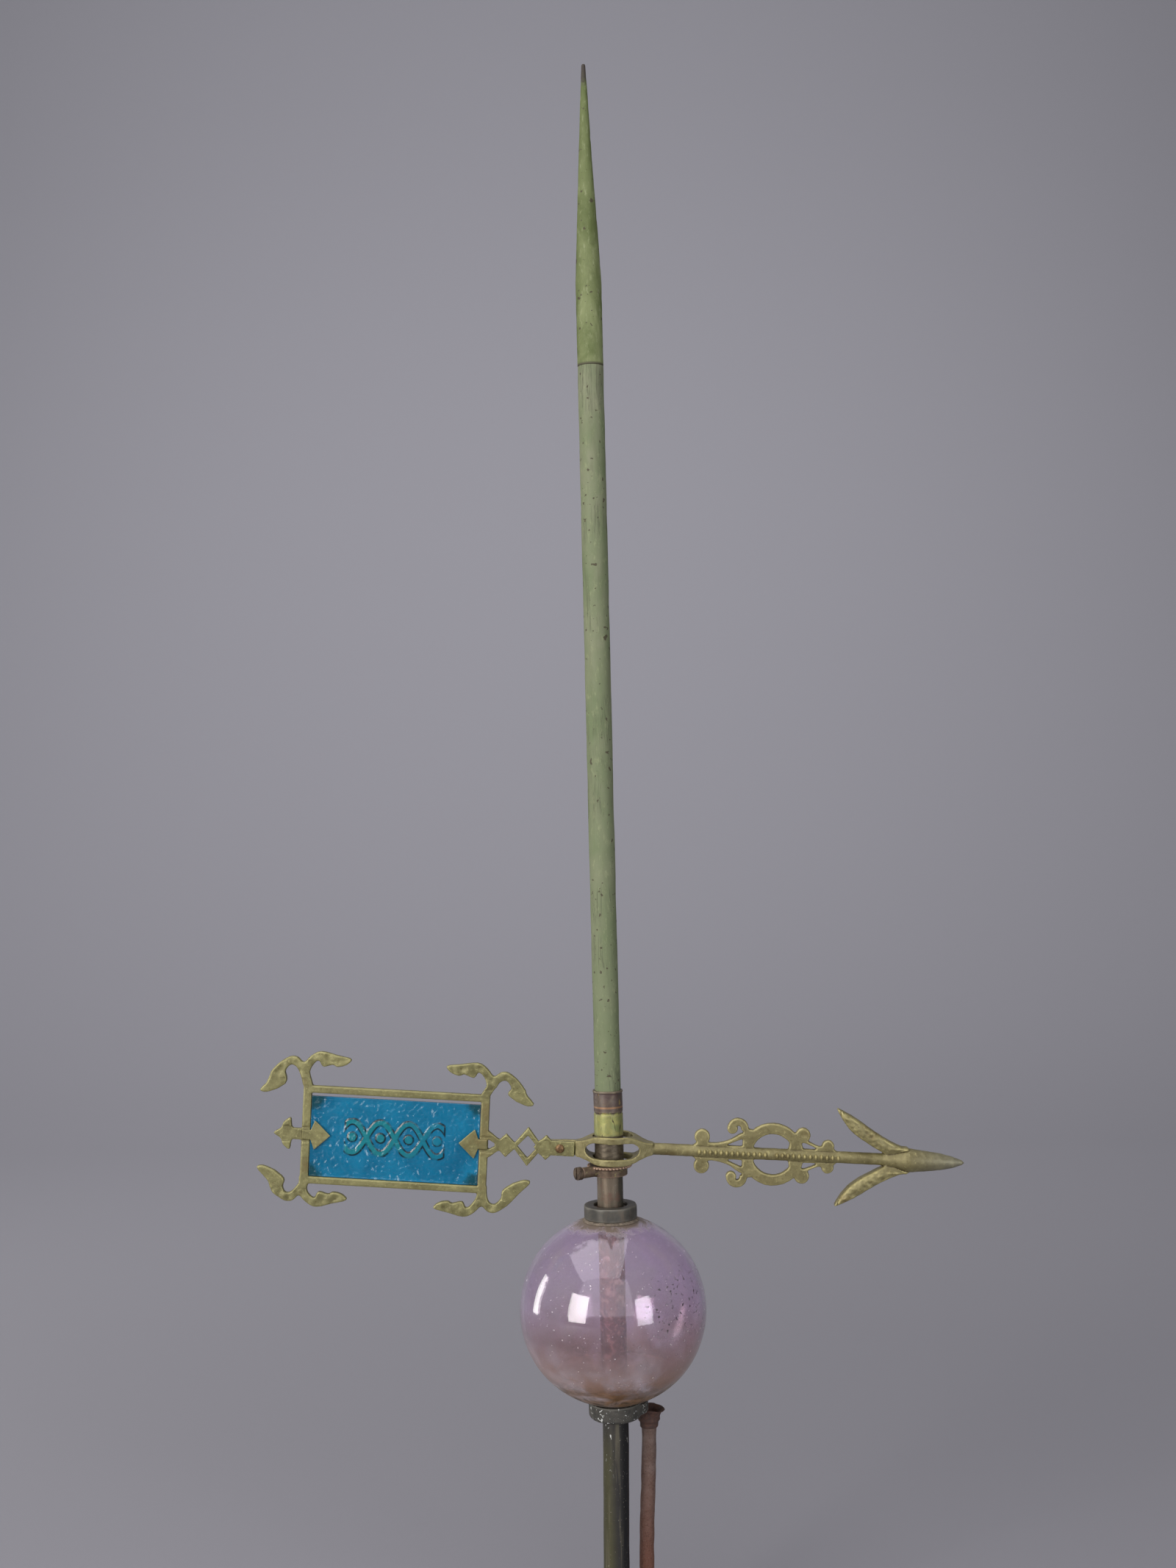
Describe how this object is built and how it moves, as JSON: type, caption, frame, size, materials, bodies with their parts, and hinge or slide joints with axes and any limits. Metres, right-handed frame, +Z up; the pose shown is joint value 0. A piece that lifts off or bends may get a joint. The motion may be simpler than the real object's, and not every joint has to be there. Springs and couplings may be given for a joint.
{
  "type": "lightning rod with weathervane",
  "caption": "Pointed roof lightning rod with a hollow glass ball and a loose arrow weathervane whose tail frames a blue glass pane.",
  "frame": {"origin": "middle of the foot's underside, on the rod's axis", "axes": "+Z up along the rod, +X towards the arrow's point at rest, -Y towards the side with the collar's screw"},
  "size_m": [0.4327, 0.1142, 0.98],
  "materials": {
    "foot_iron": "rough cast, aged",
    "screw_steel": "dull, lightly rusted",
    "dull_tube": "dark oxidised metal tube",
    "rust_rod": "brown rust",
    "rust_flare": "red-brown rust",
    "cup_metal": "dark gray with paint splashes",
    "packing": "dirty packing",
    "ball_glass": "pale amethyst blown glass",
    "cap_metal": "satin dark gray",
    "collar_bronze": "brown cast bronze",
    "bush_metal": "dark worn",
    "sleeve_metal": "brown band over yellow-green patina",
    "stud_brass": "plain turned",
    "green_tube": "mint-green patina with dark streaks",
    "green_point": "yellow-green patina, dark worn tip",
    "vane_bronze": "olive-yellow aged casting",
    "tail_bronze": "olive-yellow aged casting",
    "rivet_brown": "brown, worn",
    "pane_glass": "blue pressed glass, hammered",
    "clip_brass": "thin rolled strip"
  },
  "bodies": {
    "mast": {"foot": "foot_iron", "foot_screws": "screw_steel", "lower_tube": "dull_tube", "side_rod": "rust_rod", "side_rod_head": "rust_flare", "ball_cup": "cup_metal", "cup_screw": "screw_steel", "bottom_packing": "packing", "stop_collar": "collar_bronze", "collar_screw": "collar_bronze", "vane_bush": "bush_metal", "coupling_sleeve": "sleeve_metal", "coupling_stud": "stud_brass", "upper_tube": "green_tube", "point_stud": "stud_brass", "spire_point": "green_point"},
    "ball": {"glass_ball": "ball_glass", "top_putty": "packing", "ball_top_cap": "cap_metal"},
    "vane": {"vane_arrow": "vane_bronze", "tail_frame": "tail_bronze", "tail_rivet": "rivet_brown", "glass_panel": "pane_glass", "panel_clips": "clip_brass", "clip_rivets": "rivet_brown"}
  },
  "joints": [
    {"name": "vane_spin", "type": "hinge", "parent": "mast", "child": "vane", "pos_m": [0, 0, 0.3173], "axis": [0, 0, 1], "continuous": true},
    {"name": "ball_spin", "type": "hinge", "parent": "mast", "child": "ball", "pos_m": [0, 0, 0.219], "axis": [0, 0, 1], "continuous": true}
  ]
}
